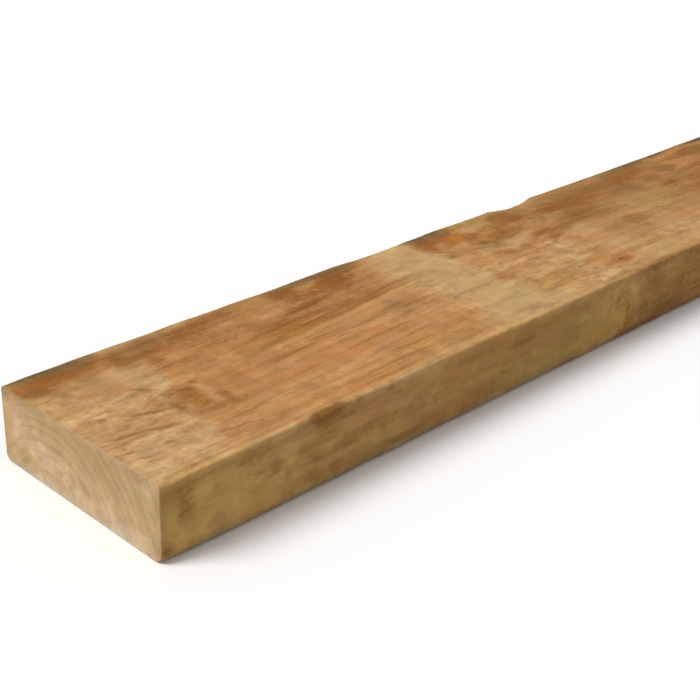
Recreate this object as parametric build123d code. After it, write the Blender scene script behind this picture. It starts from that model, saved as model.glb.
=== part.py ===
from build123d import *
import os

# A timber fence rail: one length of rough sawn softwood, cut square at both ends.
# It lies on its wide face. X runs along the grain from the near end to the far end,
# Y runs from the front edge to the back edge, and Z is up. The origin is the middle
# of the underside. All sizes are in millimetres.

# The sawn section and the length it is sold in.
rail_length = 2400.0
rail_width = 150.0
rail_thickness = 50.0

# How far handling has rounded each long arris, and the arrises round both ends.
front_top_wear = 2.0
front_bottom_wear = 4.5
back_top_wear = 1.2
back_bottom_wear = 2.5
end_wear = 0.8

# The tear beside the edge knot, where the saw pulled timber out of the back top arris.
# A station is measured from the near end, and a depth is square to the arris.
knot_tear_station = 469.0
knot_tear_length = 58.0
knot_tear_depth = 4.2

# The long low stretch of the same arris that runs on from the knot tear.
long_wear_station = 605.0
long_wear_length = 330.0
long_wear_depth = 1.7

# Two shallow dents in the same arris, nearer to the near end.
middle_dent_station = 314.0
middle_dent_length = 84.0
middle_dent_depth = 1.9
near_dent_station = 205.0
near_dent_length = 96.0
near_dent_depth = 1.2

# A nick in the front top arris, where a splinter has lifted along the grain.
splinter_station = 121.0
splinter_length = 44.0
splinter_depth = 2.0


def sawn_section():
    """The rail's section, standing on the origin, with each corner rounded by its own wear."""
    front = -rail_width / 2
    back = rail_width / 2
    wears = (
        (front, rail_thickness, front_top_wear),
        (front, 0, front_bottom_wear),
        (back, rail_thickness, back_top_wear),
        (back, 0, back_bottom_wear),
    )
    section = Pos(0, rail_thickness / 2) * Rectangle(rail_width, rail_thickness)
    for across, up, wear in wears:
        corner = section.vertices().sort_by_distance((across, up, 0))[0]
        section = fillet(corner, wear)
    return section


def sawn_length():
    """The section carried along the grain, with the arrises round both ends eased."""
    across_the_grain = Plane(origin=(-rail_length / 2, 0, 0), x_dir=(0, 1, 0), z_dir=(1, 0, 0))
    timber = extrude(across_the_grain * sawn_section(), rail_length)
    ends = timber.faces().sort_by(Axis.X)
    return fillet(ends[0].edges() + ends[-1].edges(), end_wear)


def worn_place(station, length, depth):
    """A round cutter that takes a shallow hollow out of the back top arris.

    The hollow is an arc along the arris, deepest at its station. Across the arris it is
    twice as wide as it is deep, and the cutter is twice as wide as that.
    """
    radius = length**2 / (8 * depth) + depth / 2
    hollow_width = 2 * depth
    at_the_arris = Plane(
        origin=(station - rail_length / 2, rail_width / 2, rail_thickness),
        x_dir=(1, 0, 0),
        z_dir=(0, 1, -1),
    )
    return at_the_arris * Pos(0, depth - radius, 0) * Cylinder(radius, 2 * hollow_width)


def fence_rail():
    """The sawn length with its torn and worn places taken out."""
    timber = sawn_length()
    timber -= worn_place(long_wear_station, long_wear_length, long_wear_depth)
    timber -= worn_place(knot_tear_station, knot_tear_length, knot_tear_depth)
    timber -= worn_place(middle_dent_station, middle_dent_length, middle_dent_depth)
    timber -= worn_place(near_dent_station, near_dent_length, near_dent_depth)
    splinter = worn_place(splinter_station, splinter_length, splinter_depth)
    timber -= mirror(splinter, about=Plane.XZ)
    return timber


os.makedirs("parts", exist_ok=True)
export_step(fence_rail(), "parts/fence_rail.step")
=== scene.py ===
from math import atan2, hypot, pi, radians, sin

import bpy
import numpy as np
from mathutils import Matrix, Vector


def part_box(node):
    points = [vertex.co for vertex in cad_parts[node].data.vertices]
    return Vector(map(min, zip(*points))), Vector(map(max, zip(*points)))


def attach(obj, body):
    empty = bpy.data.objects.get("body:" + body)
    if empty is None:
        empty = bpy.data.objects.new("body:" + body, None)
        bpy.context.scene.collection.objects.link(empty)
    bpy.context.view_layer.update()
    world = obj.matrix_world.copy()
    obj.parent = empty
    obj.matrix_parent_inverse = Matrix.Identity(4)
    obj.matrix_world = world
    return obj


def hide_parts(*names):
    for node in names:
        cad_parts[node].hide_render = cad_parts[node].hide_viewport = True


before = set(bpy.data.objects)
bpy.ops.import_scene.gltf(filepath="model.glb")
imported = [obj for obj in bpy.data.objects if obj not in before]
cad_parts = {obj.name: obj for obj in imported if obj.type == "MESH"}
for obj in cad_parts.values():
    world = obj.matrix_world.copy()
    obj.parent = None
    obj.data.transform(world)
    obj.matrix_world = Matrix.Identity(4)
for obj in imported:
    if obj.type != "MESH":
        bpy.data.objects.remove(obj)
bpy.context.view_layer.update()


# The rail
# One length of rough sawn softwood, cut square at both ends. It was sawn from one side
# of its log, so the growth rings run through it as long arcs that fall to the front.
# Handling has rounded its arrises, and the saw has torn the back top one beside a knot.
low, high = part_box("fence_rail")
rail_length = high.x - low.x
rail_width = high.y - low.y
rail_thickness = high.z - low.z
near_end, front, underside = low
back, top = high.y, high.z

# How far each long arris is rounded, in the order of the corners round the section, and
# by what length that swings along the rail.
arris_wear = {
    "front_bottom": 0.0045,
    "back_bottom": 0.0025,
    "back_top": 0.0012,
    "front_top": 0.0020,
}
wear_swing = 0.0006
wear_wavelength = 0.07
# The corners at both ends are rounder still, by this share of the wear.
corner_wear = 0.8
corner_reach = 0.012
# How far the arrises round the two ends are rounded.
end_wear = 0.0008

# Worn places on the back top arris: station from the near end, length and depth.
back_hollows = (
    (0.605, 0.330, 0.0017),
    (0.469, 0.058, 0.0042),
    (0.314, 0.084, 0.0019),
    (0.205, 0.096, 0.0012),
)
# The nick in the front top arris, where a splinter has lifted.
front_hollows = ((0.121, 0.044, 0.0020),)
# The floors of these places have ridges: how high, as a share of the depth, how wide and
# how long.
torn_roughness = 0.25
torn_ridge = 0.0011
torn_ridge_length = 0.02

# The mesh: rows along the grain, closer together in the stretch by the near end, and
# points across each wide face and each edge.
near_step = 0.0025
far_step = 0.010
close_stretch = 0.72
face_points = 68
edge_points = 24

# The blade left the sawn faces slightly wavy, in long waves with short ones on them, and
# left ripples on the cut ends. Both lean, by a share of the distance across and up.
saw_wave = 0.058
saw_wave_depth = 0.00030
chatter = 0.015
chatter_depth = 0.00010
lean_across = 0.11
lean_up = 0.05
end_wave = 0.009
end_wave_depth = 0.00012
end_lean = 0.35


def wander(at, wavelength, seed):
    """A smooth random swing, about -1 to 1: four sines of nearly one wavelength, added up."""
    chance = np.random.default_rng(seed)
    wavelengths = wavelength * chance.uniform(0.6, 1.7, 4)
    phases = chance.uniform(0, 2 * pi, 4)
    return np.sin(2 * pi * at[..., None] / wavelengths + phases).mean(-1) * 1.4


def crowded_shares(count):
    """Shares from 0 to 1, closer together at both ends: mostly half a cosine, partly even."""
    even = np.linspace(0, 1, count)
    return 0.2 * even + 0.8 * (1 - np.cos(pi * even)) / 2


def section_side(start, end, outward, first_wear, last_wear, shares):
    """One side of the section, from the middle of one worn corner to the middle of the next.

    The path goes an eighth turn round the first corner, along the flat and an eighth turn
    round the second. The wears have one row for each station, and shares say how far along
    the path each point is. Returns places and outward directions, rows by points by two.
    """
    start, end, outward = (np.array(v) for v in (start, end, outward))
    length = np.linalg.norm(end - start)
    along = (end - start) / length
    flat_length = length - first_wear - last_wear
    walked = shares * (pi / 4 * (first_wear + last_wear) + flat_length)
    first_turn = np.clip(pi / 4 - walked / first_wear, 0, None)
    flat = np.clip(walked - pi / 4 * first_wear, 0, flat_length)
    last_turn = np.clip((walked - pi / 4 * first_wear - flat_length) / last_wear, 0, None)
    angle = last_turn - first_turn
    wear = np.where(first_turn > 0, first_wear, last_wear)
    ahead = first_wear + flat + wear * np.sin(angle)
    inset = wear * (1 - np.cos(angle))
    place = start + ahead[..., None] * along - inset[..., None] * outward
    direction = np.sin(angle)[..., None] * along + np.cos(angle)[..., None] * outward
    return place, direction


def hollow_depth(station, hollows):
    """How deep the worn places are at each station: each is an arc with its length as chord."""
    depth = np.zeros_like(station)
    for middle, length, deepest in hollows:
        radius = length**2 / (8 * deepest) + deepest / 2
        across = np.clip(radius**2 - (station - middle) ** 2, 0, None)
        depth = np.maximum(depth, np.sqrt(across) - (radius - deepest))
    return depth


def cut_arris(place, station, corner, outward, hollows, seed):
    """Press what stands out past the worn places in on an arris, along its outward diagonal.

    A point's height is its distance past the corner along the diagonal. What is higher than
    the hollow's floor drops to it, and the floor has ridges along the grain.
    """
    diagonal = np.array(outward) / np.sqrt(2)
    from_corner = place[..., 1:] - np.array(corner)
    height = from_corner @ diagonal
    across = from_corner @ np.array((diagonal[1], -diagonal[0]))
    depth = hollow_depth(station, hollows)
    ridges = wander(across, torn_ridge, seed) * (1 + wander(station, torn_ridge_length, seed + 1))
    floor = -depth * (1 + torn_roughness * np.abs(ridges))
    drop = np.clip(height - floor, 0, None) * (depth > 0)
    place[..., 1:] -= drop[..., None] * diagonal


def rail_skin():
    """The rail's long skin, rows along the grain by points round the section.

    Four sides of the section are joined at the middles of their worn corners, drawn in
    round both ends, waved by the saw and cut at the worn places.
    """
    end_rows = end_wear * np.array([0.0, 0.08, 0.3, 1.0])
    station = np.concatenate([
        end_rows,
        np.arange(near_step, close_stretch, near_step),
        np.arange(close_stretch, rail_length - far_step / 2, far_step),
        rail_length - end_rows[::-1],
    ])
    wears = {}
    near_an_end = np.exp(-((np.minimum(station, rail_length - station) / corner_reach) ** 2))
    for seed, (name, wear) in enumerate(arris_wear.items()):
        swing = wear_swing * wander(station, wear_wavelength, seed)
        wears[name] = (wear * (1 + corner_wear * near_an_end) + swing)[:, None]
    corners = {
        "front_bottom": (front, underside),
        "back_bottom": (back, underside),
        "back_top": (back, top),
        "front_top": (front, top),
    }
    names = list(corners)
    outwards = ((0, -1), (1, 0), (0, 1), (-1, 0))
    counts = (face_points, edge_points, face_points, edge_points)
    places, directions = [], []
    for i, (name, outward, count) in enumerate(zip(names, outwards, counts)):
        following = names[(i + 1) % 4]
        place, direction = section_side(
            corners[name], corners[following], outward,
            wears[name], wears[following], crowded_shares(count),
        )
        places.append(place[:, :-1])
        directions.append(direction[:, :-1])
    section = np.concatenate(places, 1)
    direction = np.concatenate(directions, 1)

    station = station[:, None] + np.zeros(section.shape[1])
    skin = np.concatenate([near_end + station[..., None], section], -1)
    from_end = np.minimum(station, rail_length - station)
    drawn_in = end_wear - np.sqrt(end_wear**2 - np.clip(end_wear - from_end, 0, None) ** 2)
    slant = section[..., 0] * lean_across + section[..., 1] * lean_up
    wave = saw_wave_depth * (1 + wander(station + slant, saw_wave, 11)) / 2
    wave += chatter_depth * (1 + wander(station + slant, chatter, 12)) / 2
    skin[..., 1:] -= (drawn_in + np.clip(wave, 0, None))[..., None] * direction
    cut_arris(skin, station, (back, top), (1, 1), back_hollows, 21)
    cut_arris(skin, station, (front, top), (-1, 1), front_hollows, 31)
    return skin


def end_grid(rim):
    """Points filling one cut end, from the rim of the section round it.

    Each inner point is the blend of the four sides of the rim at its two shares, less the
    blend of the four corners, so the grid meets the rim exactly.
    """
    u = np.linspace(0, 1, face_points)[:, None, None]
    v = np.linspace(0, 1, edge_points)[None, :, None]
    first, second = face_points - 1, edge_points - 1
    rim = np.concatenate([rim, rim[:1]])
    below = rim[: first + 1]
    behind = rim[first : first + second + 1]
    above = rim[first + second : 2 * first + second + 1][::-1]
    before = rim[2 * first + second :][::-1]
    sides = (1 - v) * below[:, None] + v * above[:, None]
    sides = sides + (1 - u) * before[None] + u * behind[None]
    front_corners = (1 - v) * below[0] + v * above[0]
    back_corners = (1 - v) * below[-1] + v * above[-1]
    return sides - (1 - u) * front_corners - u * back_corners


def rail_mesh():
    """The closed mesh of the rail: the long skin in quads, and a grid over each cut end."""
    skin = rail_skin()
    rows, around = skin.shape[:2]
    index = np.arange(rows * around).reshape(rows, around)
    turned = np.roll(index, -1, 1)
    quads = [np.stack([index[:-1], index[1:], turned[1:], turned[:-1]], -1).reshape(-1, 4)]
    points = [skin.reshape(-1, 3)]
    count = rows * around
    first, second = face_points - 1, edge_points - 1
    for row, inward in ((0, 1), (rows - 1, -1)):
        grid = end_grid(skin[row])
        climb = grid[..., 1] * end_lean + grid[..., 2]
        grid[..., 0] += inward * end_wave_depth * (1 + np.sin(2 * pi * climb / end_wave)) / 2
        rim = np.append(index[row], index[row, 0])
        ids = np.zeros((face_points, edge_points), int)
        inner = np.arange((face_points - 2) * (edge_points - 2)).reshape(face_points - 2, -1)
        ids[1:-1, 1:-1] = count + inner
        ids[:, 0] = rim[: first + 1]
        ids[-1, :] = rim[first : first + second + 1]
        ids[:, -1] = rim[first + second : 2 * first + second + 1][::-1]
        ids[0, :] = rim[2 * first + second :][::-1]
        cells = np.stack([ids[:-1, :-1], ids[:-1, 1:], ids[1:, 1:], ids[1:, :-1]], -1).reshape(-1, 4)
        quads.append(cells if inward > 0 else cells[:, ::-1])
        points.append(grid[1:-1, 1:-1].reshape(-1, 3))
        count += inner.size
    points = np.concatenate(points)
    quads = np.concatenate(quads)
    mesh = bpy.data.meshes.new("sawn_rail")
    mesh.from_pydata(points, [], quads.tolist())
    mesh.polygons.foreach_set("use_smooth", np.ones(len(quads), bool))
    mesh.validate()
    return mesh, points


mesh, points = rail_mesh()
sawn_rail = bpy.data.objects.new("sawn_rail", mesh)
bpy.context.scene.collection.objects.link(sawn_rail)


# What the timber's colour follows at each point of the mesh: whether it is on a cut end or
# an edge face, how much painted shade lies on an end arris, how worn or dusty it is, how dark
# with grime and painted shade, and how strongly each kind of stain, resin and bleach lies on it.
def put_values(name, values):
    """Store one number for each point of the rail under a name that its finish reads."""
    layer = mesh.attributes.new(name, "FLOAT", "POINT")
    layer.data.foreach_set("value", np.ascontiguousarray(values, np.float32))


def patches_on(surface, places):
    """Soft oval patches on one surface, added up.

    surface is each point's station and distance across, with how near it is to that surface.
    A patch is a middle, a half length and a half width, with its strength, and fades as a
    bell curve of the fourth power, so it is flat inside and soft at its rim.
    """
    along, across, nearness = surface
    total = np.zeros_like(along)
    for middle, over, half_length, half_width, strength in places:
        spread = ((along - middle) / half_length) ** 2 + ((across - over) / half_width) ** 2
        total += strength * np.exp(-spread * (0.35 + 0.35 * spread))
    return total * nearness


def in_metres(*rows):
    """Rows of lengths in millimetres, each with a strength last, with the lengths in metres."""
    rows = np.array(rows)
    rows[:, :-1] /= 1000
    return rows


def scattered(seed, count, stations, across, half_lengths, half_widths, strengths):
    """Patches at random: each of a patch's numbers is drawn evenly between two ends."""
    chance = np.random.default_rng(seed)
    ranges = (stations, across, half_lengths, half_widths, strengths)
    return in_metres(*np.stack([chance.uniform(*ends, count) for ends in ranges], -1))


# Where each point is, and how near it is to each face, from 0 to 1. Stains on the long
# faces fade at the cut ends.
station = points[:, 0] - near_end
from_front = points[:, 1] - front
height = points[:, 2] - underside
seen_length = 0.66
skin_reach = 0.004
by_top = np.exp(-(((rail_thickness - height) / skin_reach) ** 2))
by_underside = np.exp(-((height / skin_reach) ** 2))
by_front = np.exp(-((from_front / skin_reach) ** 2))
by_back = np.exp(-(((rail_width - from_front) / skin_reach) ** 2))
from_end = np.minimum(station, rail_length - station)
end_share = 1 - np.clip(from_end / end_wear, 0, 1)
off_the_ends = 1 - 0.7 * end_share
top_face = (station, from_front, by_top * off_the_ends)
under_face = (station, from_front, by_underside * off_the_ends)
front_face = (station, height, by_front * off_the_ends)
back_face = (station, height, by_back * off_the_ends)
near_face = (from_front, height, end_share * (station < seen_length))
far_face = (from_front, height, end_share * (station > seen_length))

end_reach = 0.0006
rim_reach = 0.0008
from_side = np.minimum(from_front, rail_width - from_front)
from_side = np.minimum(from_side, np.minimum(height, rail_thickness - height))
put_values("end_grain", np.exp(-((from_end / end_reach) ** 2)))
# Painted shade on the end arrises, strongest on their rounding, which damps the highlight the light
# puts there.
put_values("painted_end_arris_shade", np.exp(-((np.hypot(from_end, from_side) / rim_reach) ** 2)))
put_values("edge_face", np.clip(by_front + by_back, 0, 1))


def stretch(middle, half_length):
    """1 along a stretch of the rail and 0 past it, by a bell curve of the fourth power."""
    return np.exp(-(((station - middle) / half_length) ** 4))


# Stretches of the back top arris are dark, partly with grime and partly with painted shade of
# its rounding, and handling has polished the front top and the back bottom one pale, but not
# where splinters were torn out: station, half length and strength of each stretch.
grimy_and_shaded_stretches = (
    (0.028, 0.030, 1.0),
    (0.060, 0.005, 0.5),
    (0.258, 0.045, 0.55),
    (0.361, 0.024, 1.0),
    (0.463, 0.019, 0.65),
    (0.540, 0.045, 0.35),
    (0.630, 0.040, 0.9),
)
torn_stretches = ((0.121, 0.017, 1.0), (0.430, 0.090, 0.7))
worn = by_front * by_top * (0.6 + 0.6 * wander(station, 0.16, 41))
worn += by_back * by_underside * (0.5 + 0.6 * wander(station, 0.14, 43))
for middle, half_length, strength in torn_stretches:
    worn *= 1 - strength * stretch(middle, half_length)
put_values("worn_arris", np.clip(worn, 0, 1))

# The dark line along the back top arris: grime together with painted shade of its rounding, in the
# stretches above and all along the unseen part.
grime_and_shade_reach = 0.0078
from_back_top = np.hypot(rail_width - from_front, rail_thickness - height)
grime_and_shade_amount = (station > seen_length) * (0.65 + 0.55 * wander(station, 0.09, 44))
for middle, half_length, strength in grimy_and_shaded_stretches:
    grime_and_shade_amount += strength * stretch(middle, half_length)
put_values("grime_and_shade", np.clip(np.exp(-((from_back_top / grime_and_shade_reach) ** 3)) * grime_and_shade_amount, 0, 1))

# Dust has greyed the rail's foot, higher up on the back and less on a cleaner stretch of
# the front. A little lies along the back top arris too.
dust_reach = 0.0065
arris_dust, arris_dust_reach = 0.45, 0.005
clean_foot, clean_half_length, clean_share = 0.455, 0.060, 0.60
from_foot = np.minimum(height, 1.3 * (rail_width - from_front) + 0.4 * height)
dust = 0.7 + 0.5 * wander(station + from_front, 0.05, 45)
dust *= np.exp(-((from_foot / dust_reach) ** 2))
dust *= 0.85 + 0.25 * end_share
dust += arris_dust * np.exp(-((from_back_top / arris_dust_reach) ** 2))
dust *= 1 - clean_share * by_front * stretch(clean_foot, clean_half_length)
put_values("dust", np.clip(dust, 0, 1))

# Patches seen on the near part of the rail, in millimetres: each one's station, distance
# from the front edge or from the underside, half length, half width and strength.
brown_on_top = in_metres(
    (9, 127, 8, 5, 0.65), (34, 141, 16, 6, 0.7), (18, 122, 8, 5, 0.5), (49, 140, 8, 7, 0.55),
    (72, 131, 6, 10, 0.6), (93, 140, 13, 8, 0.6), (87, 127, 13, 4, 0.3), (112, 136, 12, 8, 0.4),
    (211, 138, 10, 7, 1.0), (232, 146, 30, 4, 0.8), (208, 114, 18, 5, 0.6), (262, 137, 12, 8, 0.7),
    (280, 142, 14, 6, 0.5), (353, 137, 9, 7, 0.75), (349, 125, 6, 5, 0.45), (368, 138, 10, 6, 0.5),
    (392, 124, 6, 5, 0.85), (414, 114, 8, 5, 1.2), (430, 113, 8, 5, 0.55), (447, 129, 8, 6, 0.95),
    (440, 137, 10, 5, 0.85), (393, 83, 5, 3, 0.55), (410, 83, 5, 4, 0.4), (378, 59, 9, 3, 0.5),
    (441, 94, 9, 3, 0.65), (443, 82, 8, 3, 0.65), (498, 97, 16, 6, 0.5), (500, 112, 45, 12, 0.4),
    (525, 130, 60, 12, 0.45), (524, 68, 14, 5, 0.4), (495, 63, 12, 5, 0.4), (619, 95, 10, 5, 0.6),
    (615, 111, 12, 5, 0.55), (634, 143, 12, 5, 0.7), (580, 111, 14, 8, 0.5), (648, 120, 14, 6, 0.5),
    (600, 120, 90, 26, 0.5), (500, 95, 60, 18, 0.45), (590, 58, 80, 26, 0.45), (480, 55, 40, 18, 0.3),
    (30, 134, 40, 12, 0.5), (90, 132, 30, 12, 0.3), (245, 132, 45, 12, 0.2), (12, 48, 10, 3, 0.5),
    (85, 45, 16, 4, 0.4), (160, 132, 60, 12, 0.28), (236, 106, 50, 12, 0.42), (260, 128, 40, 14, 0.4),
    (372, 142, 14, 6, 0.45), (445, 138, 22, 7, 0.5), (19, 76, 3, 3, 0.55), (86, 80, 2, 2, 0.9),
    (90, 55, 40, 22, 0.25), (442, 22, 8, 4, 0.5), (117, 1, 11, 3, 0.95), (126, 116, 18, 11, 0.5),
    (168, 108, 34, 5, 0.4), (222, 124, 24, 5, 0.45), (230, 99, 18, 4, 0.45), (264, 70, 28, 3.5, 0.45),
    (21, 112, 5, 4, 0.5), (42, 112, 10, 12, 0.35), (90, 103, 14, 4, 0.35), (288, 10, 6, 10, 0.35),
    (71, 67, 8, 8, 0.5), (77, 75, 6, 3, 0.35), (60, 63, 5, 3, 0.5), (90.5, 54, 3, 6, 0.45),
    (80, 72, 3, 6, 0.3), (431, 125, 7, 6, 0.8), (85, 8, 12, 5, 0.4), (88, 30, 14, 6, 0.3),
    (255, 70, 40, 3, 0.35), (58, 89, 5, 3, 0.75), (405, 111, 6, 4, 0.9), (387, 118, 6, 4, 0.5),
    (465, 125, 16, 10, 0.42), (395, 55, 5, 7, 0.4), (421, 60, 7, 6, 0.45), (387, 88, 8, 4, 0.4),
    (475, 95, 10, 4, 0.35), (460, 2, 30, 3, 0.5), (610, 137, 20, 6, 0.5), (650, 118, 10, 6, 0.4),
    (130, 2, 6, 3, 1.0), (351, 106, 6, 3, 0.75), (86, 111, 8, 7, 0.45), (106, 104, 10, 4, 0.45),
    (30, 103, 6, 4, 0.4), (35, 73, 8, 3, 0.4), (130, 135, 14, 6, 0.4), (160, 117, 14, 4, 0.4),
    (166, 97, 18, 4, 0.35), (238, 47, 14, 4, 0.4), (225, 2, 28, 4, 0.4), (330, 131, 12, 10, 0.28),
    (457, 91, 20, 7, 0.4), (444, 119, 6, 5, 0.5), (520, 60, 16, 5, 0.38), (210, 90, 100, 22, 0.18),
    (500, 10, 60, 20, 0.2), (145, 139, 30, 7, 0.45), (400, 95, 50, 20, 0.22), (380, 125, 30, 8, 0.25),
    (560, 132, 100, 16, 0.2), (10, 79, 6, 5, 0.42), (27, 49, 5, 4, 0.42), (65, 47, 5, 6, 0.35),
    (86, 122, 7, 12, 0.3), (67, 117, 7, 6, 0.3), (405, 3, 10, 4, 0.5), (445, 10, 12, 4, 0.28),
    (510, 46, 16, 7, 0.25), (505, 89, 30, 4, 0.28), (460, 116, 10, 5, 0.3), (402, 116, 6, 4, 0.4),
    (449, 130, 10, 6, 0.35), (560, 109, 8, 6, 0.3), (582, 102, 10, 5, 0.3), (644, 88, 10, 5, 0.3),
)
red_on_top = in_metres(
    (18, 136, 20, 8, 0.95), (60, 140, 18, 7, 0.6), (98, 122, 10, 6, 0.45), (106, 136, 18, 9, 0.55),
    (160, 140, 30, 8, 0.45), (212, 139, 14, 8, 0.8), (225, 120, 30, 9, 0.65), (253, 131, 16, 11, 0.95),
    (205, 106, 40, 10, 0.4), (150, 55, 60, 18, 0.28), (230, 40, 60, 18, 0.28), (180, 10, 60, 5, 0.35),
    (350, 134, 10, 12, 0.8), (378, 129, 12, 8, 0.75), (415, 113, 8, 6, 0.9), (404, 109, 8, 5, 0.85),
    (447, 128, 10, 8, 0.6), (488, 124, 18, 7, 0.85), (530, 122, 40, 9, 0.55), (443, 22, 12, 5, 0.75),
    (427, 34, 14, 6, 0.35), (603, 130, 24, 9, 0.75), (620, 103, 20, 14, 0.4), (50, 98, 12, 6, 0.45),
    (72, 66, 12, 9, 0.25), (502, 113, 30, 10, 0.35), (585, 120, 20, 8, 0.35), (366, 112, 10, 8, 0.35),
    (52, 114, 8, 10, 0.28),
)
pale_on_top = in_metres(
    (57, 112, 10, 7, 0.5), (69, 93, 8, 8, 0.45), (85.5, 62, 5, 9, 1.3), (48, 27, 12, 6, 0.4),
    (5, 15, 12, 10, 0.4), (114, 60, 8, 4, 0.4), (152, 128, 12, 5, 0.5), (204, 127, 8, 4, 0.6),
    (405, 135, 11, 5, 1.5), (381, 98, 10, 4, 0.8), (412, 98, 10, 4, 0.55), (355, 72, 12, 6, 0.45),
    (434, 70, 10, 7, 0.55), (465, 80, 18, 10, 0.5), (328, 18, 20, 14, 0.4), (400, 10, 70, 6, 0.55),
    (520, 15, 60, 10, 0.4), (400, 55, 45, 18, 0.55), (500, 50, 40, 16, 0.25), (595, 20, 45, 14, 0.6),
    (318, 115, 22, 14, 0.25), (270, 3, 60, 4, 0.6), (35, 34, 22, 8, 0.35), (20, 100, 8, 5, 0.4),
    (61, 101, 6, 6, 0.5), (78, 102, 4, 8, 0.35), (140, 57, 16, 4, 0.35), (165, 34, 40, 4, 0.35),
    (297, 58, 8, 8, 0.35), (296, 34, 10, 5, 0.35), (300, 98, 8, 14, 0.3), (404, 36, 10, 5, 0.9),
    (413, 22, 8, 4, 0.7), (462, 48, 12, 5, 0.45), (540, 33, 14, 4, 0.45), (545, 88, 14, 5, 0.35),
    (638, 135, 6, 6, 0.55), (200, 37, 20, 4, 0.35), (530, 80, 80, 50, 0.2), (405, 91, 18, 5, 0.45),
    (26, 60, 18, 4, 0.6), (96, 50, 6, 7, 0.45), (56, 26, 6, 6, 0.4), (107, 91, 14, 4, 0.4),
    (338, 79, 14, 5, 0.35), (374, 113, 14, 6, 0.75), (382, 104, 12, 6, 0.6), (300, 90, 8, 7, 0.4),
    (270, 62, 25, 3, 0.4), (150, 57, 30, 3, 0.3), (230, 38, 40, 3, 0.35), (330, 20, 30, 18, 0.7),
    (500, 30, 60, 30, 0.18), (500, 130, 90, 20, 0.3), (600, 110, 70, 34, 0.35), (432, 99, 8, 5, 0.5),
    (432, 76, 5, 4, 0.5), (412, 30, 12, 12, 0.3), (585, 135, 8, 6, 0.45), (60, 72, 5, 6, 0.5),
    (82, 78, 4, 4, 0.4), (50, 92, 5, 4, 0.4), (20, 30, 8, 5, 0.35), (364, 44, 8, 5, 0.3),
    (404, 104, 8, 4, 0.6), (326, 12, 8, 6, 0.35),
)
olive_on_top = in_metres(
    (424, 138, 12, 5, 0.8), (440, 143, 12, 4, 0.6), (385, 98, 10, 4, 0.5), (10, 97, 14, 8, 0.5),
    (325, 100, 24, 40, 0.45), (340, 30, 40, 30, 0.35), (575, 83, 34, 12, 0.7), (448, 57, 16, 6, 0.5),
    (390, 40, 50, 20, 0.3), (532, 128, 24, 6, 0.5), (500, 132, 50, 12, 0.3), (600, 132, 40, 12, 0.5),
    (500, 20, 50, 16, 0.35), (600, 95, 40, 18, 0.3), (235, 134, 50, 10, 0.25), (120, 100, 30, 12, 0.3),
    (374, 108, 12, 6, 0.6), (185, 146, 35, 4, 0.5), (392, 146, 16, 4, 0.5), (428, 146, 14, 4, 1.0),
    (550, 146, 30, 4, 0.5), (250, 20, 60, 16, 0.35), (403, 142, 12, 5, 0.9),
)
resin_on_top = in_metres(
    (29, 136, 7, 4, 0.85), (14, 137, 8, 4, 0.7), (253, 134, 14, 6, 0.8), (376, 129, 8, 5, 1.1),
    (385, 124, 6, 4, 1.0), (382, 106, 12, 7, 0.6), (488, 125, 8, 5, 0.8), (418, 122, 26, 12, 0.25),
    (46, 132, 20, 6, 0.55), (76, 129, 16, 7, 0.4), (104, 135, 12, 8, 0.6), (168, 131, 12, 6, 0.45),
    (272, 134, 14, 6, 0.45), (240, 128, 14, 5, 0.4), (190, 90, 40, 4, 0.35), (83, 61, 8, 10, 0.35),
    (185, 60, 120, 55, 0.15), (140, 135, 12, 6, 0.4), (256, 74, 14, 8, 0.35), (248, 100, 18, 6, 0.35),
)
brown_on_front = in_metres(
    (70, 45, 85, 4, 0.35), (117, 48, 7, 4, 0.9), (112, 10, 28, 3, 0.25), (12, 40, 10, 6, 0.35),
    (120, 34, 12, 7, 0.4), (215, 10, 30, 6, 0.35), (262, 14, 22, 8, 0.45), (300, 30, 10, 8, 0.5),
    (456, 34, 12, 12, 0.35), (484, 16, 20, 10, 0.32), (469, 8, 26, 6, 0.45), (390, 47, 110, 3, 0.22),
    (510, 26, 70, 26, 0.34), (425, 3, 20, 4, 0.5), (470, 3, 50, 4, 0.5), (300, 40, 100, 8, 0.3),
    (640, 25, 120, 30, 0.45), (172, 8, 30, 3, 0.45), (4, 8, 4, 4, 0.9), (2, 25, 3, 22, 0.22),
    (18, 26, 6, 10, 0.38), (38, 31, 10, 3, 0.35), (61, 39, 12, 5, 0.35), (102, 31, 6, 4, 0.38),
    (160, 41, 34, 3, 0.38), (444, 17, 8, 5, 0.5), (355, 27, 26, 4, 0.4), (284, 24, 5, 10, 0.35),
    (16, 30, 6, 5, 0.4), (401, 30, 1.5, 13, 0.4), (425, 18, 3, 8, 0.6),
)
red_on_front = in_metres(
    (425, 22, 3, 10, 0.7), (402, 37, 2, 10, 0.25), (70, 7, 12, 4, 0.12), (230, 30, 8, 12, 0.35),
    (500, 30, 40, 12, 0.15),
)
pale_on_front = in_metres(
    (33, 21, 30, 18, 0.75), (53, 28, 5, 14, 0.45), (100, 28, 40, 12, 0.35), (412, 30, 13, 20, 1.8),
    (376, 24, 30, 22, 0.6), (30, 26, 40, 30, 0.3), (480, 30, 40, 20, 0.4), (401, 34, 10, 16, 0.75),
    (430, 30, 8, 10, 0.65), (380, 10, 22, 8, 0.35), (345, 8, 14, 6, 0.45), (484, 40, 14, 8, 0.4),
    (60, 14, 22, 10, 0.6), (45, 32, 10, 8, 0.3), (212, 42, 20, 6, 0.4), (300, 22, 4, 10, 0.45),
    (320, 24, 5, 12, 0.2), (80, 7, 42, 4, 0.65), (190, 11, 12, 4, 0.38), (67, 8, 10, 6, 1.1),
    (385, 5, 10, 4, 0.8), (54, 21, 9, 6, 0.5), (90, 31, 6, 6, 0.5), (422, 39, 12, 6, 0.5),
    (418, 31, 3, 11, 0.6), (32, 26, 36, 24, 0.3), (404, 30, 2, 13, 0.5),
)
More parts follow.
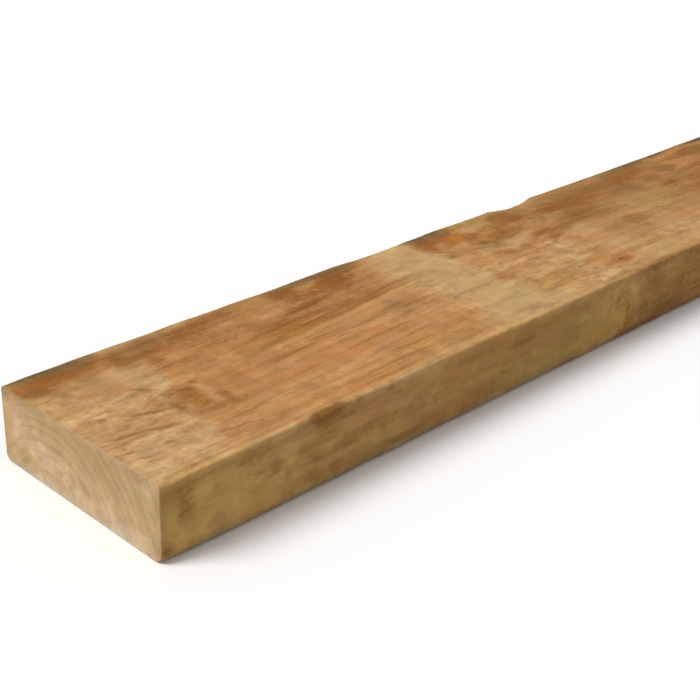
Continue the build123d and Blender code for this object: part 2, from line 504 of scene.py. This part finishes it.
olive_on_front = in_metres(
    (130, 25, 200, 30, 0.45), (400, 26, 26, 22, 0.2), (480, 25, 50, 28, 0.75), (300, 25, 60, 20, 0.25),
    (395, 11, 13, 6, 0.85), (364, 14, 22, 6, 0.6), (4, 30, 5, 18, 0.5), (320, 12, 40, 8, 0.45),
    (372, 30, 34, 22, 0.5), (300, 25, 60, 24, 0.3),
)
resin_on_front = in_metres(
    (411, 29, 10, 16, 0.15), (427, 19, 4, 8, 0.7), (396, 34, 3, 12, 0.3), (390, 13, 20, 8, 0.3),
)

# The same on the near end, where the first two are a patch's distance from the front edge
# and from the underside.
brown_on_end = in_metres(
    (132, 47, 18, 4, 0.3), (88, 46, 26, 6, 0.28), (45, 44, 20, 7, 0.25), (18, 26, 3, 14, 0.25),
    (60, 30, 30, 4, 0.2), (110, 4, 30, 3, 0.2), (20, 47, 10, 4, 0.5), (3, 36, 3, 12, 0.25),
    (4, 8, 4, 4, 0.6),
)
pale_on_end = in_metres(
    (128, 28, 15, 8, 0.6), (104, 19, 22, 8, 0.75), (64, 9, 26, 5, 0.8), (18, 8, 14, 5, 0.95),
    (13, 42, 8, 6, 0.4),
)
olive_on_end = in_metres(
    (145, 26, 4, 16, 0.45), (122, 10, 10, 5, 0.45), (70, 40, 40, 8, 0.3),
)

# Further along, and on the back and the underside, the stains go on in the same way at
# random: brown and red along the back edge, and the rest anywhere.
unseen = (1000 * seen_length, 1000 * rail_length)
anywhere = (0, 1000 * rail_length)
stains = {
    "brown_stain": (
        (top_face, brown_on_top),
        (front_face, brown_on_front),
        (near_face, brown_on_end),
        (top_face, scattered(51, 70, unseen, (128, 148), (6, 30), (4, 10), (0.4, 0.9))),
        (top_face, scattered(52, 60, unseen, (0, 130), (5, 30), (2, 6), (0.2, 0.6))),
        (top_face, scattered(56, 30, unseen, (30, 130), (40, 110), (15, 30), (0.3, 0.5))),
        (front_face, scattered(53, 30, unseen, (0, 50), (10, 80), (3, 12), (0.2, 0.6))),
        (back_face, scattered(54, 60, anywhere, (20, 50), (10, 60), (3, 12), (0.3, 0.8))),
        (under_face, scattered(55, 90, anywhere, (0, 150), (6, 50), (3, 12), (0.2, 0.7))),
        (far_face, scattered(57, 6, (0, 150), (0, 50), (10, 30), (4, 8), (0.2, 0.3))),
    ),
    "red_stain": (
        (top_face, red_on_top),
        (front_face, red_on_front),
        (top_face, scattered(61, 50, unseen, (110, 148), (10, 40), (5, 12), (0.3, 0.8))),
        (top_face, scattered(62, 30, unseen, (0, 120), (10, 60), (5, 18), (0.2, 0.5))),
        (back_face, scattered(63, 40, anywhere, (0, 50), (10, 60), (4, 14), (0.3, 0.7))),
        (under_face, scattered(64, 50, anywhere, (0, 150), (10, 60), (5, 18), (0.2, 0.5))),
    ),
    "resin": (
        (top_face, resin_on_top),
        (front_face, resin_on_front),
        (top_face, scattered(91, 26, unseen, (110, 148), (5, 14), (3, 7), (0.4, 0.9))),
        (back_face, scattered(92, 16, anywhere, (0, 50), (5, 14), (3, 8), (0.4, 0.8))),
        (under_face, scattered(93, 20, anywhere, (0, 150), (5, 14), (3, 8), (0.4, 0.8))),
    ),
    "bleach": (
        (top_face, pale_on_top),
        (front_face, pale_on_front),
        (near_face, pale_on_end),
        (top_face, scattered(71, 60, unseen, (0, 140), (10, 50), (3, 14), (0.3, 0.6))),
        (front_face, scattered(72, 20, unseen, (0, 50), (4, 20), (4, 12), (0.2, 0.5))),
        (under_face, scattered(73, 70, anywhere, (0, 150), (10, 60), (3, 16), (0.3, 0.6))),
        (far_face, scattered(74, 5, (0, 150), (0, 50), (10, 25), (4, 9), (0.4, 0.8))),
    ),
    "olive_stain": (
        (top_face, olive_on_top),
        (front_face, olive_on_front),
        (near_face, olive_on_end),
        (top_face, scattered(81, 40, unseen, (0, 150), (10, 60), (5, 18), (0.2, 0.6))),
        (front_face, scattered(82, 30, unseen, (0, 50), (20, 120), (6, 20), (0.3, 0.6))),
        (back_face, scattered(83, 50, anywhere, (0, 50), (20, 120), (6, 20), (0.3, 0.6))),
        (under_face, scattered(84, 40, anywhere, (0, 150), (10, 60), (6, 20), (0.2, 0.6))),
    ),
}
amounts = {name: sum(patches_on(*each) for each in lists) for name, lists in stains.items()}

# Pale bands across the wide faces, where the stacked timber lay on its bearers: the middle
# at the front edge, half length, how far it runs on at the back edge, strength, and how
# soft its nearer and its further edge are.
bearer_bands = (
    (0.015, 0.042, 0.034, 0.45, 0.010, 0.008),
    (0.320, 0.026, 0.003, 0.82, 0.036, 0.010),
    (0.925, 0.024, -0.010, 0.65, 0.008, 0.030),
    (1.530, 0.026, 0.006, 0.60, 0.020, 0.012),
    (2.130, 0.024, 0.004, 0.65, 0.012, 0.024),
)
for middle, half_length, skew, strength, near_soft, far_soft in bearer_bands:
    past_middle = station - middle - skew * from_front / rail_width
    edge = half_length + 0.0020 * wander(from_front, 0.03, 46)
    inside = np.clip((edge + past_middle) / near_soft + 0.5, 0, 1)
    inside *= np.clip((edge - past_middle) / far_soft + 0.5, 0, 1)
    amounts["bleach"] += strength * inside * (by_top + by_underside)
for name, amount in amounts.items():
    put_values(name, np.clip(amount, 0, 1))


# The rail's finish
# Bare softwood fresh from the saw: pale early wood and darker late wood in each year's
# ring, knots where branches stood, fibres torn up by the blade, and old brown stains.
def colour(red, green, blue):
    """A colour as seen, each part from 0 to 255, made linear for the shader."""
    seen = np.array([red, green, blue]) / 255
    linear = np.where(seen <= 0.04045, seen / 12.92, ((seen + 0.055) / 1.055) ** 2.4)
    return (*linear, 1.0)


class Finish:
    """The shader nodes of a material or of the world.

    An input takes a plain value or what another call gave back.
    """

    def __init__(self, owner):
        owner.use_nodes = True
        self.nodes = owner.node_tree.nodes
        self.links = owner.node_tree.links
        self.nodes.clear()

    def add(self, kind, inputs, **settings):
        """Add one node, set its settings, and fill its inputs by name or number."""
        node = self.nodes.new("ShaderNode" + kind)
        for name, value in settings.items():
            setattr(node, name, value)
        for name, value in inputs.items():
            if isinstance(value, bpy.types.NodeSocket):
                self.links.new(value, node.inputs[name])
            else:
                node.inputs[name].default_value = value
        return node

    def math(self, operation, *values, **settings):
        """Arithmetic on numbers."""
        return self.add("Math", dict(enumerate(values)), operation=operation, **settings).outputs[0]

    def times(self, first, second):
        """Two numbers multiplied."""
        return self.math("MULTIPLY", first, second)

    def sloped(self, value, slope, start):
        """A number times a slope, added to a start."""
        return self.math("MULTIPLY_ADD", value, slope, start)

    def vector(self, operation, *values):
        """Arithmetic on vectors, or a number where the operation gives one."""
        node = self.add("VectorMath", dict(enumerate(values)), operation=operation)
        return node.outputs["Value" if operation in ("DOT_PRODUCT", "LENGTH") else "Vector"]

    def scaled(self, vector, factor):
        """A vector times a number."""
        return self.add("VectorMath", {0: vector, "Scale": factor}, operation="SCALE").outputs[0]

    def ease(self, value, start, end, first=0.0, last=1.0):
        """Ease from first to last as the value goes from start to end, held outside them."""
        inputs = {0: value, 1: start, 2: end, 3: first, 4: last}
        return self.add("MapRange", inputs, interpolation_type="SMOOTHSTEP").outputs[0]

    def noise(self, place, scale, detail=3.0, roughness=0.5):
        """Noise at a place after each part of it is scaled, from 0 to 1 about a half."""
        where = self.vector("MULTIPLY", place, scale)
        inputs = {"Vector": where, "Scale": 1.0, "Detail": detail, "Roughness": roughness}
        return self.add("TexNoise", inputs).outputs[0]

    def swing(self, along, wavelength, start):
        """A sine along the rail that rises through zero at the start."""
        turn = self.sloped(along, 2 * pi / wavelength, -2 * pi * start / wavelength)
        return self.math("SINE", turn)

    def mix(self, share, first, second):
        """Blend two colours."""
        return self.add("Mix", {0: share, 6: first, 7: second}, data_type="RGBA").outputs[2]

    def shaded(self, tint, factor):
        """A colour times a number, which may be over 1."""
        inputs = {0: factor, 6: (0.0, 0.0, 0.0, 1.0), 7: tint}
        return self.add("Mix", inputs, data_type="RGBA", clamp_factor=False).outputs[2]

    def value(self, name):
        """The number stored on the mesh under a name."""
        return self.add("Attribute", {}, attribute_name=name).outputs["Fac"]


timber_material = bpy.data.materials.new("rough_sawn_softwood")
wood = Finish(timber_material)
place = wood.add("TexCoord", {}).outputs["Object"]
along, over = wood.add("SeparateXYZ", {0: place}).outputs[:2]

# Noise in the timber that isn't led by its fibres, from broad to fine.
mottle = wood.noise(place, (7.0, 17.0, 17.0), 3.0, 0.55)
blotches = wood.noise(place, (24.0, 40.0, 40.0), 3.0, 0.6)
crumbs = wood.noise(place, (85.0, 120.0, 120.0), 2.0, 0.55)
stir = wood.add("TexNoise", {"Vector": place, "Scale": 75.0, "Detail": 2.0}).outputs["Color"]
stir = wood.add("SeparateColor", {0: stir}).outputs
stir = wood.add("CombineXYZ", {0: stir[0], 1: stir[1], 2: stir[2]}).outputs[0]
stir = wood.vector("SUBTRACT", stir, (0.5, 0.5, 0.5))

# The middle of the log, from which rings and branches grow, lies under the rail. The log
# bent slowly as it grew, and its fibres with it, more towards the back of the rail.
pith_y, pith_z = 0.038, -0.027
bend_y, bend_y_wavelength, bend_y_start = 0.0125, 0.75, near_end + 0.20
bend_z, bend_z_wavelength, bend_z_start = 0.0040, 0.71, near_end + 0.10
front_bend_share = 0.35
bend_share = wood.ease(over, front + 0.03, front + 0.10, front_bend_share, 1.0)
shift_y = wood.times(wood.swing(along, bend_y_wavelength, bend_y_start), bend_y)
shift_y = wood.times(shift_y, bend_share)
shift_z = wood.times(wood.swing(along, bend_z_wavelength, bend_z_start), bend_z)
bend = wood.add("CombineXYZ", {1: shift_y, 2: shift_z}).outputs[0]
fibre = wood.vector("SUBTRACT", place, bend)

# Where branches come out: station, the two places on the section, radius there, and how
# far the knot is drawn out along the grain.
knots = (
    (0.071, 0.066 + front, top, 0.0105, 1.15),
    (0.397, 0.125 + front, top, 0.0210, 1.4),
    (0.419, front, 0.022, 0.0150, 0.85),
    (0.985, 0.047 + front, top, 0.0110, 1.35),
    (1.010, front, 0.030, 0.0080, 1.3),
    (1.032, back, 0.018, 0.0100, 1.2),
    (1.395, 0.118 + front, top, 0.0150, 1.4),
    (1.420, 0.031 + front, top, 0.0060, 1.6),
    (1.760, 0.078 + front, top, 0.0100, 1.3),
    (1.782, front, 0.016, 0.0110, 1.2),
    (2.140, 0.128 + front, top, 0.0110, 1.35),
    (2.162, 0.052 + front, top, 0.0130, 1.4),
    (2.185, back, 0.030, 0.0080, 1.2),
)
# In a knot's radii: how far round it the fibres are pushed aside, how far round it and how
# high the rings are lifted, and how crooked its outline is.
fibre_reach = 3.2
bulge_reach = 2.0
bulge_height = 0.6
knot_crookedness = 1.1

# At each place: the lift of the rings, the distance from the nearest knot's middle in its
# radii, at first far off, and the way out from that middle.
bulge = 0.0
knot_depth = 9.0
in_knot = (0.0, 0.0, 0.0)
crooked = wood.scaled(stir, knot_crookedness)
for knot_station, out_y, out_z, knot_radius, drawn_out in knots:
    root_x = near_end + knot_station
    root_y = pith_y + bend_y * sin(2 * pi * (root_x - bend_y_start) / bend_y_wavelength)
    root_z = pith_z + bend_z * sin(2 * pi * (root_x - bend_z_start) / bend_z_wavelength)
    branch = Vector((0.0, out_y - root_y, out_z - root_z))
    reach = branch.length
    branch.normalize()
    from_root = wood.vector("SUBTRACT", place, (root_x, root_y, root_z))
    climb = wood.vector("DOT_PRODUCT", from_root, tuple(branch))
    aside = wood.vector("SUBTRACT", from_root, wood.scaled(tuple(branch), climb))
    thickness = wood.math("MAXIMUM", wood.times(climb, knot_radius / reach), 0.001)
    spot = wood.vector("MULTIPLY", aside, (1 / drawn_out, 1.0, 1.0))
    spot = wood.scaled(spot, wood.math("DIVIDE", 1.0, thickness))
    distance = wood.vector("LENGTH", wood.vector("ADD", spot, crooked))
    squared = wood.math("POWER", wood.math("MAXIMUM", distance, 1.0), 2.0)
    pull = wood.math("EXPONENT", wood.sloped(squared, -1 / fibre_reach, 1 / fibre_reach))
    across = wood.vector("MULTIPLY", aside, (0.0, 1.0, 1.0))
    fibre = wood.vector("SUBTRACT", fibre, wood.scaled(across, pull))
    hill = wood.math("EXPONENT", wood.times(squared, -1 / bulge_reach**2))
    lift = wood.times(wood.times(hill, thickness), bulge_height)
    bulge = wood.math("ADD", bulge, lift)
    knot_depth = wood.math("MINIMUM", knot_depth, distance)
    inside = wood.math("LESS_THAN", distance, 1.4)
    in_knot = wood.vector("ADD", in_knot, wood.scaled(spot, inside))

# Growth rings: the distance from the middle of the log, less the rise of the wood round a
# knot, divided into years of uneven width. The log tapers, so they run out along the grain.
ring_width = 0.0070
ring_taper = 0.014
ring_unevenness = 0.008
across_log = wood.vector("SUBTRACT", fibre, (0.0, pith_y, pith_z))
across_log = wood.vector("MULTIPLY", across_log, (0.0, 1.0, 1.0))
radius = wood.vector("LENGTH", across_log)
unevenness = wood.math("SUBTRACT", wood.noise(fibre, (2.4, 13.0, 13.0), 2.0), 0.5)
unevenness = wood.times(unevenness, ring_unevenness)
radius = wood.math("ADD", wood.math("SUBTRACT", radius, bulge), unevenness)
radius = wood.sloped(along, ring_taper, radius)
year = wood.math("DIVIDE", radius, ring_width)
yearly = {"W": year, "Scale": 0.8, "Detail": 1.0}
early_years = wood.add("TexNoise", yearly, noise_dimensions="1D").outputs[0]
year = wood.sloped(early_years, 1.3, year)
season = wood.math("FRACT", year)
autumn = wood.times(wood.ease(season, 0.40, 0.88), wood.ease(season, 0.90, 1.0, 1.0, 0.2))
late_wood = wood.math("ADD", autumn, wood.ease(season, 0.12, 0.0, 0.0, 0.2))
whole_year = {"W": wood.math("FLOOR", year)}
good_years = wood.add("TexWhiteNoise", whole_year, noise_dimensions="1D").outputs[0]

# Fibres: streaks along the bent grain, from broad bands to single torn threads.
broad_streaks = wood.noise(fibre, (3.5, 120.0, 120.0), 3.0, 0.55)
middle_streaks = wood.noise(fibre, (8.0, 210.0, 210.0), 2.0, 0.5)
streaks = wood.noise(fibre, (14.0, 440.0, 440.0), 3.0, 0.6)
threads = wood.noise(fibre, (55.0, 1900.0, 1900.0), 2.0, 0.6)
flecks = wood.noise(fibre, (38.0, 900.0, 900.0), 1.0, 0.5)

early_colour = colour(198, 149, 95)
late_colour = colour(152, 101, 46)
warm_colour = colour(188, 124, 66)
dull_colour = colour(166, 136, 84)
pink_colour = colour(196, 146, 110)

ring_strength = wood.sloped(good_years, 0.5, 0.35)
ring_strength = wood.times(ring_strength, wood.ease(mottle, 0.3, 0.7, 0.5, 1.0))
edge_face = wood.value("edge_face")
ring_strength = wood.times(ring_strength, wood.sloped(edge_face, -0.5, 1.0))
tufts = wood.noise(fibre, (28.0, 105.0, 105.0), 2.0, 0.5)
rings_broken = wood.times(ring_strength, wood.ease(middle_streaks, 0.3, 0.65, 0.35, 1.1))
grain = wood.times(late_wood, rings_broken)
face = wood.mix(wood.times(grain, 0.8), early_colour, late_colour)
for noise, start, end, most, tint in (
    (broad_streaks, 0.42, 0.75, 0.60, late_colour),
    (mottle, 0.42, 0.70, 0.60, warm_colour),
    (blotches, 0.50, 0.75, 0.55, dull_colour),
    (crumbs, 0.50, 0.75, 0.40, pink_colour),
    (middle_streaks, 0.58, 0.80, 0.40, late_colour),
):
    face = wood.mix(wood.ease(noise, start, end, 0.0, most), face, tint)

# A knot: wood of its own colour with faint rings round a small split heart, in a halo of
# darker wood. Its rim is dark on part of its way round.
knot_golden = colour(192, 136, 62)
knot_red = colour(170, 110, 56)
knot_dark = colour(140, 90, 40)
rim_colour = colour(104, 64, 32)
halo_colour = colour(156, 104, 46)
direction = wood.scaled(wood.vector("NORMALIZE", in_knot), 1.6)
rays = {"Vector": direction, "W": wood.times(along, 14.0), "Scale": 1.0, "Detail": 1.0}
star = wood.add("TexNoise", rays, noise_dimensions="4D").outputs[0]
direction = wood.scaled(direction, 0.5)
quarter = {"Vector": direction, "W": wood.times(along, 9.0), "Scale": 1.0, "Detail": 0.0}
side_of_knot = wood.add("TexNoise", quarter, noise_dimensions="4D").outputs[0]
knot_years = 3.0
ring_depth = wood.sloped(crumbs, 0.45, knot_depth)
knot_rings = wood.math("SINE", wood.times(ring_depth, 2 * pi * knot_years))
knot_face = wood.mix(wood.ease(side_of_knot, 0.35, 0.65), knot_golden, knot_red)
knot_face = wood.mix(wood.ease(knot_rings, -1.0, 1.0, 0.0, 0.5), knot_face, knot_dark)
knot_face = wood.mix(wood.ease(knot_depth, 0.55, 1.0, 0.0, 0.4), knot_face, knot_dark)
split_width = wood.math("ABSOLUTE", wood.math("SUBTRACT", star, 0.5))
splits = wood.ease(split_width, 0.03, 0.0, 0.0, 0.7)
splits = wood.times(splits, wood.ease(knot_depth, 0.45, 0.15))
heart = wood.math("MAXIMUM", splits, wood.ease(knot_depth, 0.17, 0.06))
knot_face = wood.mix(wood.times(heart, 0.8), knot_face, rim_colour)
face = wood.mix(wood.ease(knot_depth, 2.2, 1.0, 0.0, 0.35), face, halo_colour)
face = wood.mix(wood.ease(knot_depth, 1.12, 0.80, 0.0, 0.7), face, knot_face)
rim = wood.times(wood.ease(knot_depth, 0.70, 0.95), wood.ease(knot_depth, 1.30, 0.98))
rim = wood.times(rim, wood.ease(side_of_knot, 0.38, 0.62, 0.30, 0.7))
face = wood.mix(rim, face, rim_colour)

face = wood.shaded(face, wood.sloped(grain, -0.20, 1.03))

# The cut ends: paler and softer in colour, with the rings end on.
end_early = colour(189, 159, 119)
end_late = colour(170, 136, 93)
end_pink = colour(202, 162, 130)
end_olive = colour(174, 150, 102)
end_grain = wood.value("end_grain")
end_rings = wood.times(late_wood, wood.ease(mottle, 0.35, 0.65, 0.35, 0.9))
end_tone = wood.mix(end_rings, end_early, end_late)
end_tone = wood.mix(wood.ease(blotches, 0.48, 0.68, 0.0, 0.5), end_tone, end_pink)
end_tone = wood.mix(wood.ease(mottle, 0.42, 0.66, 0.0, 0.55), end_tone, end_olive)
timber = wood.mix(end_grain, face, end_tone)

# Stains and bleached places, broken up along the fibres.
brown_colour = colour(124, 78, 28)
red_colour = colour(164, 88, 32)
bleach_colour = wood.mix(edge_face, colour(202, 170, 124), colour(220, 176, 106))
bleach_colour = wood.mix(end_grain, bleach_colour, colour(214, 184, 150))
olive_colour = colour(174, 143, 78)
resin_colour = colour(190, 124, 40)
specks = wood.noise(place, (230.0, 330.0, 330.0), 1.0, 0.5)
ragged = -2.60
for noise, share in ((streaks, 0.8), (specks, 1.0), (tufts, 1.4), (crumbs, 0.8), (blotches, 1.2)):
    ragged = wood.sloped(noise, share, ragged)
evenness = wood.sloped(end_grain, -0.5, 1.0)
ragged = wood.times(ragged, evenness)
outside_knot = wood.ease(knot_depth, 0.9, 1.2, 0.75, 1.0)
for name, stain_colour, most in (
    ("bleach", bleach_colour, 0.8),
    ("olive_stain", olive_colour, 0.75),
    ("resin", resin_colour, 0.75),
    ("red_stain", red_colour, 0.75),
    ("brown_stain", brown_colour, 0.8),
):
    stain = wood.value(name)
    amount = wood.sloped(ragged, wood.ease(stain, 0.0, 0.5), stain)
    amount = wood.times(wood.ease(amount, -0.1, 1.2, 0.0, most), outside_knot)
    timber = wood.mix(amount, timber, stain_colour)

# Dark marks along the grain of the top, in millimetres: where one starts and where it ends,
# each as a station and a distance from the front edge, its half width and its strength.
grain_marks = in_metres(
    (2, 56.5, 34, 50, 1.6, 0.8), (26, 52, 54, 44, 2.4, 0.85), (0, 40, 16, 36, 1.4, 0.6),
    (4, 30, 24, 27, 1.4, 0.5), (30, 71, 58, 62, 1.8, 0.75), (12, 85, 40, 80, 1.3, 0.5),
    (56, 56, 66, 59, 1.3, 0.7), (92, 64, 94, 50, 1.8, 0.25), (51, 96, 62, 88, 1.2, 0.8),
    (55, 92, 68, 83, 0.9, 0.5), (58, 22, 112, 16, 1.4, 0.5), (95, 42, 165, 47, 1.4, 0.45),
    (105, 80, 305, 99, 3.4, 0.65), (160, 90, 236, 97, 2.4, 0.95), (140, 99, 226, 104, 2.8, 0.75),
    (186, 109, 238, 118, 3.8, 0.75), (240, 97, 310, 104, 2.8, 0.65), (130, 65, 182, 71, 1.6, 0.5),
    (168, 74, 206, 74, 1.4, 0.65), (184, 65, 210, 66, 1.2, 0.6), (236, 75, 278, 76, 2.6, 0.55),
    (192, 50, 258, 53, 1.7, 0.6), (198, 29, 238, 29, 1.5, 0.55), (185, 18, 245, 18, 1.3, 0.5),
    (150, 9, 210, 9, 1.5, 0.5), (344, 124, 362, 108, 1.6, 0.6), (358, 110, 395, 100, 1.8, 0.5),
    (395, 102, 450, 108, 1.6, 0.5), (470, 98, 520, 100, 2.2, 0.45), (590, 90, 640, 98, 2, 0.5),
)
mark_depth = 0.006
mark_waviness = 0.004
mark_share = 0.82
mark_colour = colour(126, 80, 26)
stirred = wood.vector("ADD", place, wood.scaled(stir, mark_waviness))
marks = 0.0
for first_x, first_y, last_x, last_y, half_width, strength in grain_marks:
    middle = (near_end + (first_x + last_x) / 2, front + (first_y + last_y) / 2, top)
    half_length = hypot(last_x - first_x, last_y - first_y) / 2
    heading = atan2(last_y - first_y, last_x - first_x)
    inputs = {"Vector": stirred, "Location": middle, "Rotation": (0, 0, heading),
              "Scale": (half_length, half_width, mark_depth)}
    spot = wood.add("Mapping", inputs, vector_type="TEXTURE").outputs[0]
    mark = wood.ease(wood.vector("LENGTH", spot), 1.35, 0.25, 0.0, strength)
    marks = wood.math("MAXIMUM", marks, mark)
marks = wood.times(marks, wood.ease(streaks, 0.25, 0.6, 0.6, 1.0))
timber = wood.mix(wood.times(marks, mark_share), timber, mark_colour)

# The arrises: polished pale, dark with grime and painted shade, or grey with dust.
worn_colour = colour(204, 168, 118)
grime_and_shade_colour = colour(88, 72, 46)
dust_colour = wood.mix(end_grain, colour(160, 146, 104), colour(198, 181, 154))
worn_arris = wood.times(wood.value("worn_arris"), wood.ease(crumbs, 0.3, 0.6, 0.3, 0.8))
timber = wood.mix(worn_arris, timber, worn_colour)
dust = wood.times(wood.value("dust"), wood.ease(crumbs, 0.25, 0.6, 0.45, 0.9))
timber = wood.mix(dust, timber, dust_colour)
# The back top arris: grime with painted shade of its rounding.
grime_and_shade = wood.times(wood.value("grime_and_shade"), wood.ease(crumbs, 0.3, 0.6, 0.55, 0.95))
timber = wood.mix(grime_and_shade, timber, grime_and_shade_colour)

# Fine light and dark along the fibres, and faint bands across them. Painted shade darkens the
# end arrises a little, to damp the highlight that the light puts on their rounding.
painted_end_arris_shade_depth = -0.07
sawn_bands = wood.noise(place, (42.0, 4.0, 4.0), 2.0, 0.5)
fibre_share = wood.sloped(edge_face, -0.5, 1.0)
tone = 1.0
for noise, swing in ((streaks, 0.12), (threads, 0.08), (tufts, 0.66)):
    swing = wood.times(fibre_share, swing)
    noise = wood.math("SUBTRACT", noise, 0.5)
    tone = wood.times(tone, wood.sloped(noise, swing, 1.0))
for noise, swing in ((sawn_bands, 0.34), (specks, 0.24), (crumbs, 0.62), (blotches, 0.48)):
    tone = wood.times(tone, wood.sloped(noise, swing, 1 - swing / 2))
tone = wood.times(tone, wood.ease(flecks, 0.64, 0.74, 1.0, 0.86))
tone = wood.sloped(wood.math("SUBTRACT", tone, 1.0), evenness, 1.0)
# Painted shade on the end arrises.
tone = wood.times(tone, wood.sloped(wood.value("painted_end_arris_shade"), painted_end_arris_shade_depth, 1.0))
timber = wood.shaded(timber, tone)

# Saw marks: uneven ridges across the grain, plain in some places and gone in others.
relief_strength = 0.85
relief_depth = 0.0007
saw_marks = wood.noise(place, (330.0, 7.0, 14.0), 2.0, 0.5)
saw_marks = wood.times(saw_marks, wood.ease(mottle, 0.40, 0.62, 0.25, 1.0))
blade_waves = wood.noise(place, (115.0, 5.0, 8.0), 1.0, 0.5)
relief = wood.times(saw_marks, 0.6)
for ridges, share in (
    (blade_waves, 0.8),
    (tufts, 0.6),
    (streaks, 0.24),
    (threads, 0.12),
    (crumbs, 0.3),
    (late_wood, 0.12),
    (heart, -0.40),
):
    relief = wood.sloped(ridges, share, relief)
relief = wood.times(relief, evenness)
bump = {"Height": relief, "Strength": relief_strength, "Distance": relief_depth}
bump = wood.add("Bump", bump).outputs[0]

roughness = wood.sloped(streaks, 0.2, 0.68)
surface = wood.add("BsdfPrincipled", {
    "Base Color": timber,
    "Roughness": roughness,
    "Normal": bump,
    "Specular IOR Level": 0.12,
})
wood.add("OutputMaterial", {"Surface": surface.outputs[0]})
mesh.materials.append(timber_material)

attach(sawn_rail, "root")
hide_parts("fence_rail")


# The floor
# A plain white studio floor. Where the camera looks straight at it, it is pure white
# apart from the rail's shadow.
floor_half = 15.0
floor_mesh = bpy.data.meshes.new("floor")
floor_mesh.from_pydata(
    [(-floor_half, -floor_half, underside), (floor_half, -floor_half, underside),
     (floor_half, floor_half, underside), (-floor_half, floor_half, underside)],
    [], [(0, 1, 2, 3)],
)
floor = bpy.data.objects.new("floor", floor_mesh)
bpy.context.scene.collection.objects.link(floor)


def straight_view(finish):
    """1 where the camera sees the place itself, in a mirror or through glass, else 0."""
    path = finish.add("LightPath", {})
    seen = finish.math("ADD", path.outputs["Is Camera Ray"], path.outputs["Is Glossy Ray"])
    return finish.math("ADD", seen, path.outputs["Is Transmission Ray"], use_clamp=True)


floor_material = bpy.data.materials.new("white_floor")
paper = Finish(floor_material)
paper_colour = paper.mix(straight_view(paper), (0.70, 0.70, 0.70, 1), (1.0, 1.0, 1.0, 1))
paper_surface = paper.add("BsdfDiffuse", {"Color": paper_colour})
paper.add("OutputMaterial", {"Surface": paper_surface.outputs[0]})
floor_mesh.materials.append(floor_material)


# The light
# Soft daylight from above and behind the near end, with an even white sky.
sun_strength = 0.80
sun_width = radians(28)
sky_strength = 0.42
towards_the_sun = Vector((-0.62, 0.28, 0.73))
key = bpy.data.lights.new("key", "SUN")
key.energy = sun_strength * pi
key.angle = sun_width
key_lamp = bpy.data.objects.new("key", key)
key_lamp.rotation_euler = towards_the_sun.to_track_quat("Z", "Y").to_euler()
bpy.context.scene.collection.objects.link(key_lamp)

world = bpy.data.worlds.new("studio")
bpy.context.scene.world = world
sky = Finish(world)
brightness = {"Value": straight_view(sky), "To Min": sky_strength, "To Max": 1.0}
brightness = sky.add("MapRange", brightness).outputs[0]
daylight = sky.add("Background", {"Color": (1.0, 1.0, 1.0, 1.0), "Strength": brightness})
sky.add("OutputWorld", {"Surface": daylight.outputs[0]})


# The camera
# It stands in front of the near end and looks down along the rail, whose far part runs
# out of the picture.
camera_place = Vector((near_end - 0.3601, front - 0.4802, underside + 0.4247))
camera_heading = radians(44.0214)
camera_dip = radians(26.2719)
camera_tilt = radians(2.0234)
camera = bpy.data.cameras.new("camera")
camera.sensor_width = 36.0
camera.lens = 69.87
camera.clip_end = 100.0
camera_object = bpy.data.objects.new("camera", camera)
turn = Matrix.Rotation(camera_heading - pi / 2, 4, "Z")
turn = turn @ Matrix.Rotation(pi / 2 - camera_dip, 4, "X") @ Matrix.Rotation(camera_tilt, 4, "Z")
camera_object.matrix_world = Matrix.Translation(camera_place) @ turn
bpy.context.scene.collection.objects.link(camera_object)
bpy.context.scene.camera = camera_object

bpy.context.scene.view_settings.view_transform = "Standard"

bpy.context.view_layer.update()
